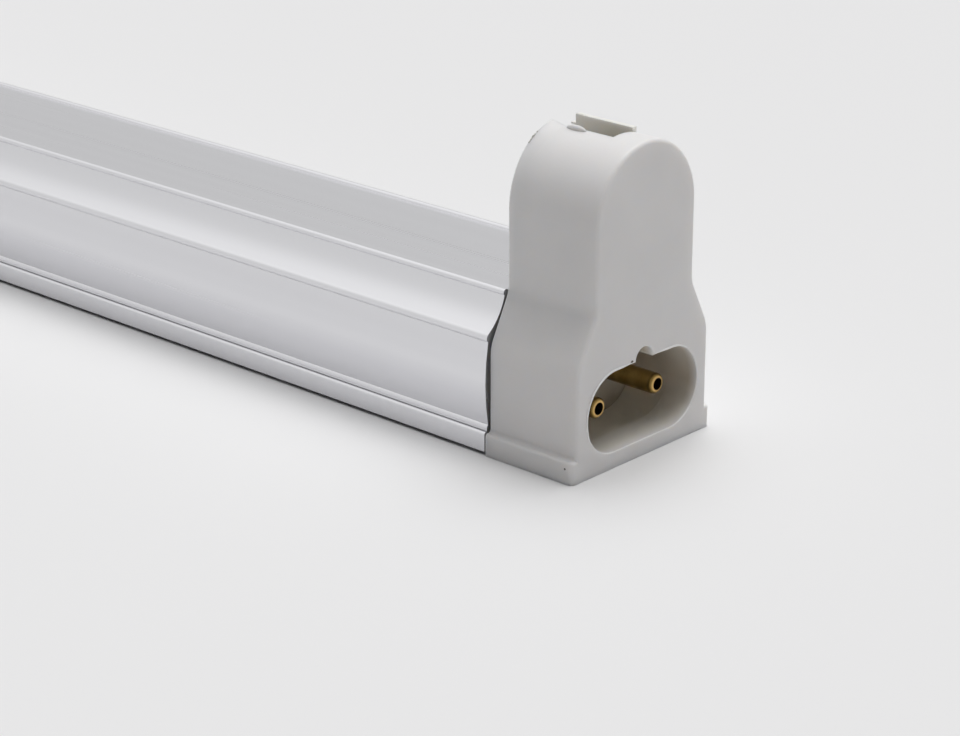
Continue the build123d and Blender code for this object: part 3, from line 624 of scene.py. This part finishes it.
def inlet_brass():
    """Brass of the inlet pins: a dull shank and a bright worn tip, with painted shade on the tip's rounded
    outer edge and inside the bore.
    """
    s = Finish("pin_brass")
    texture = s.effect("grain", Grain=PIN_GRAIN, Wave=PIN_WAVE)
    x, y, z = s.parts(s.place)
    along = s.math("ABSOLUTE", x)
    beside = s.math("SUBTRACT", s.math("ABSOLUTE", y), PIN_OFFSET)
    above = s.math("SUBTRACT", z, PIN_HEIGHT)
    reach = s.math("SQRT", s.math("ADD", s.times(beside, beside), s.times(above, above)))
    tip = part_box("feed_pin_a")[1].x
    worn = s.times(
        s.remap(along, tip - WORN_BEGINS, tip - WORN_IS_FULL),
        s.remap(reach, TIP_RING, TIP_RING_CORE * TIP_RING),
    )
    rim = s.times(
        s.remap(along, tip - RIM_BEGINS, tip - RIM_IS_FULL),
        s.remap(reach, RIM_INNER, RIM_OUTER),
    )
    base = s.mix(s.remap(texture["Tone"], *TONE_SPREAD), SHANK_DARK, SHANK_LIGHT)
    # Painted shade on the rounded outer edge of the tip
    base = s.mix(rim, s.mix(worn, base, TIP_COLOUR), RIM_SHADE_COLOUR)
    # Painted shade inside the bore
    s.set("Base Color", s.mix(s.below(reach, PIN_BORE, BORE_BLUR), base, BORE_SHADE_COLOUR))
    s.set("Metallic", 1.0)
    s.set("Roughness", s.remap(texture["Tone"], *GLOSS_SPREAD, *PIN_GLOSS))
    s.raise_surface(texture["Height"], PIN_GRAIN_DEPTH, PIN_GRAIN_STRENGTH)
    return s.material


WIRE_GRAIN = 2000.0

# Colour, roughness and grain of the other moulded, sleeved and coated pieces
PLASTICS = {
    "rotor_plastic": ((0.74, 0.735, 0.71), 0.34, 2500.0),
    "wire_blue": ((0.02, 0.09, 0.42), PLASTIC_ROUGHNESS, WIRE_GRAIN),
    "wire_brown": ((0.10, 0.035, 0.015), PLASTIC_ROUGHNESS, WIRE_GRAIN),
    "wire_white": ((0.72, 0.71, 0.68), PLASTIC_ROUGHNESS, WIRE_GRAIN),
    "wire_sleeve": ((0.5, 0.02, 0.02), PLASTIC_ROUGHNESS, WIRE_GRAIN),
    "board_laminate": ((0.47, 0.32, 0.11), 0.5, PLASTIC_GRAIN),
    "liner_film": ((0.72, 0.72, 0.69), 0.25, PLASTIC_GRAIN),
    "fuse_sleeve": ((0.62, 0.58, 0.50), 0.3, PLASTIC_GRAIN),
    "black_epoxy": ((0.02, 0.02, 0.02), 0.45, PLASTIC_GRAIN),
    "ferrite": ((0.05, 0.05, 0.055), 0.55, 3000.0),
    "capacitor_sleeve": ((0.01, 0.012, 0.03), 0.2, PLASTIC_GRAIN),
    "glass_bead": ((0.02, 0.07, 0.2), 0.1, PLASTIC_GRAIN),
    "resistor_body": ((0.47, 0.34, 0.16), 0.35, PLASTIC_GRAIN),
    "bobbin_plastic": ((0.02, 0.02, 0.02), 0.4, PLASTIC_GRAIN),
    "film_capacitor_case": ((0.28, 0.03, 0.01), 0.2, PLASTIC_GRAIN),
    "thermistor_coat": ((0.01, 0.08, 0.02), 0.35, PLASTIC_GRAIN),
}

# Colour and roughness of the other drawn and rolled metals
METALS = {
    "zinc_steel": ((0.68, 0.69, 0.71), 0.3),
    "contact_bronze": ((0.78, 0.50, 0.28), 0.3),
    "enamelled_copper": ((0.52, 0.17, 0.05), 0.22),
}


def make_finishes():
    """One finish for every slot of the record."""
    finishes = {
        "satin_aluminium": extruded_aluminium(),
        "cap_plastic": cap_plastic(),
        "pin_brass": inlet_brass(),
    }
    for name, (colour, roughness, grain) in PLASTICS.items():
        finishes[name] = moulded_plastic(name, colour, roughness=roughness, grain=grain)
    for name, (colour, roughness) in METALS.items():
        finishes[name] = drawn_metal(name, colour, roughness)
    return finishes


FINISHES = make_finishes()


def dress_nodes():
    """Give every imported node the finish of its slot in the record."""
    for row in frame["record"]["subparts"]:
        piece = nodes[row["node"]]
        finish = FINISHES[row["material_slot"]]
        if not piece.material_slots:
            piece.data.materials.append(finish)
        for holder in piece.material_slots:
            holder.material = finish


# Small pieces that only the photographed cap has: flash, an ear and burrs

# Darker than the cap's plastic: painted shade along the flash
FLASH_SHADE_COLOUR = (0.52, 0.51, 0.46)
FLASH_ROUGHNESS = 0.5
FLASH_START = math.radians(12)
FLASH_END = math.radians(42)
FLASH_STEPS = 48
FLASH_THICKNESS = 0.12 * MM
FLASH_ROOT = 0.15 * MM
FLASH_LEAST = 0.05
FLASH_SWELL = 0.20
FLASH_SWELLS_FROM = 0.3
FLASH_SWELLS_BY = 1.5
FLASH_TAPER = 12

# Size, rate and shift of the waves that make the flash ragged
FLASH_WAVES = ((0.15, 31, 0.0), (0.10, 67, 1.0))

TOWER_RADIUS = 7.65 * MM
LAMP_HEIGHT = 26.0 * MM


def ride_on_cap(mesh, finish):
    """Put a mesh in the scene with a finish, as a piece that rides on the fixture."""
    piece = bpy.data.objects.new(mesh.name, mesh)
    bpy.context.scene.collection.objects.link(piece)
    mesh.materials.append(finish)
    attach(piece, "fixture")


def flash_height(part):
    """How far the flash stands out at a part of its way: thin, then swollen, ragged, gone at both ends."""
    swollen = min(1.0, FLASH_SWELLS_BY * (part - FLASH_SWELLS_FROM))
    swell = FLASH_SWELL * max(0.0, math.sin(math.pi * swollen))
    ragged = 1.0
    for size, rate, shift in FLASH_WAVES:
        ragged += size * math.sin(rate * part + shift)
    ends = min(1.0, FLASH_TAPER * part, FLASH_TAPER * (1 - part))
    return (FLASH_LEAST + swell) * ragged * ends * MM


def rim_flash():
    """Thin ragged flash that the mould left along the rear arch of the photographed cap, in a darker plastic
    that paints shade along it.
    """
    back = FACE - CAP_DEPTH
    points = []
    for step in range(FLASH_STEPS + 1):
        part = step / FLASH_STEPS
        angle = FLASH_START + part * (FLASH_END - FLASH_START)
        for reach in (TOWER_RADIUS - FLASH_ROOT, TOWER_RADIUS + flash_height(part)):
            y = -reach * math.sin(angle)
            z = LAMP_HEIGHT + reach * math.cos(angle)
            points += [(back, y, z), (back + FLASH_THICKNESS, y, z)]
    faces = [(0, 1, 3, 2)]
    for step in range(FLASH_STEPS):
        a = 4 * step
        b = a + 4
        faces += [
            (a, a + 2, b + 2, b),
            (a + 1, b + 1, b + 3, a + 3),
            (a + 2, a + 3, b + 3, b + 2),
            (a, b, b + 1, a + 1),
        ]
    last = 4 * FLASH_STEPS
    faces.append((last, last + 2, last + 3, last + 1))
    mesh = bpy.data.meshes.new("rim_flash")
    mesh.from_pydata(points, [], faces)
    ride_on_cap(mesh, moulded_plastic("flash_shade_plastic", FLASH_SHADE_COLOUR, roughness=FLASH_ROUGHNESS))


EAR_FROM_FACE = (-8.2 * MM, -1.5 * MM, 33.46 * MM)
EAR_REACH = (1.3 * MM, 0.29 * MM, 0.48 * MM)
EAR_SEGMENTS = 32
EAR_RINGS = 20


def slot_ear():
    """Low rounded ear that stands beside the crown slot of the photographed cap."""
    mesh = bpy.data.meshes.new("slot_ear")
    ball = bmesh.new()
    bmesh.ops.create_uvsphere(ball, u_segments=EAR_SEGMENTS, v_segments=EAR_RINGS, radius=1.0)
    centre = Vector(EAR_FROM_FACE) + Vector((FACE, 0, 0))
    for corner in ball.verts:
        corner.co = centre + Vector(c * reach for c, reach in zip(corner.co, EAR_REACH))
    for face in ball.faces:
        face.smooth = True
    ball.to_mesh(mesh)
    ball.free()
    ride_on_cap(mesh, FINISHES["cap_plastic"])


MOUTH_END = 4.4 * MM
MOUTH_HEIGHT = 6.2 * MM
MOUTH_ROUND = 0.12 * MM
KEY_RADIUS = 1.35 * MM
LEVEL_STEPS = 6
NEAR_ARC = (215, 85)
FAR_ARC = (90, 50)
ARC_STEP = -5

BEAD_RADIUS = 0.12 * MM
BEAD_SIDES = 10
BEAD_TIP = 0.15
BEAD_GROWTH = 0.2


def mouth_bead(name, path, finish):
    """Fine raised burr on the outer face along a part of the recess mouth, thin at both ends."""
    last = len(path) - 1
    points = []
    for step, (y, z) in enumerate(path):
        ahead = path[min(step + 1, last)]
        behind = path[max(step - 1, 0)]
        along = Vector((0, ahead[0] - behind[0], ahead[1] - behind[1])).normalized()
        across = along.cross(Vector((1, 0, 0)))
        from_end = min(step, last - step)
        radius = BEAD_RADIUS * min(1.0, BEAD_TIP + BEAD_GROWTH * from_end)
        for side in range(BEAD_SIDES):
            angle = math.tau * side / BEAD_SIDES
            outward = Vector((FACE + radius * math.cos(angle), y, z))
            points.append(outward + radius * math.sin(angle) * across)
    faces = [tuple(range(BEAD_SIDES)), tuple(reversed(range(last * BEAD_SIDES, (last + 1) * BEAD_SIDES)))]
    for step in range(last):
        for side in range(BEAD_SIDES):
            a = step * BEAD_SIDES + side
            b = step * BEAD_SIDES + (side + 1) % BEAD_SIDES
            faces.append((b, a, a + BEAD_SIDES, b + BEAD_SIDES))
    mesh = bpy.data.meshes.new(name)
    mesh.from_pydata(points, [], faces)
    ride_on_cap(mesh, finish)


def mouth_arc(centre, degrees):
    """Points on the outer face around one rounded end of the recess mouth."""
    reach = MOUTH_END + MOUTH_ROUND
    angles = [math.radians(a) for a in range(*degrees, ARC_STEP)]
    return [(centre + reach * math.cos(a), MOUTH_HEIGHT + reach * math.sin(a)) for a in angles]


def mouth_beads():
    """Burrs along the upper edge of the photographed recess, on both sides of its key, in a pale plastic
    that paints a highlight.
    """
    top = MOUTH_HEIGHT + (MOUTH_END + MOUTH_ROUND)
    length = MOUTH_END - KEY_RADIUS - 2 * MOUTH_ROUND
    level = [(-MOUTH_END + length * step / LEVEL_STEPS, top) for step in range(1, LEVEL_STEPS + 1)]
    level_far = [(-y, z) for y, z in reversed(level)]
    # Pale burrs: painted highlight along the mouth's edge
    finish = moulded_plastic("burr_highlight_plastic", EDGE_HIGHLIGHT_COLOUR, dust=0.0)
    mouth_bead("mouth_bead_near", mouth_arc(-MOUTH_END, NEAR_ARC) + level, finish)
    mouth_bead("mouth_bead_far", level_far + mouth_arc(MOUTH_END, FAR_ARC), finish)


place_camera()
light_world()
lay_floor()
dress_nodes()
rim_flash()
slot_ear()
mouth_beads()

view = bpy.context.scene.view_settings
view.view_transform = "Standard"
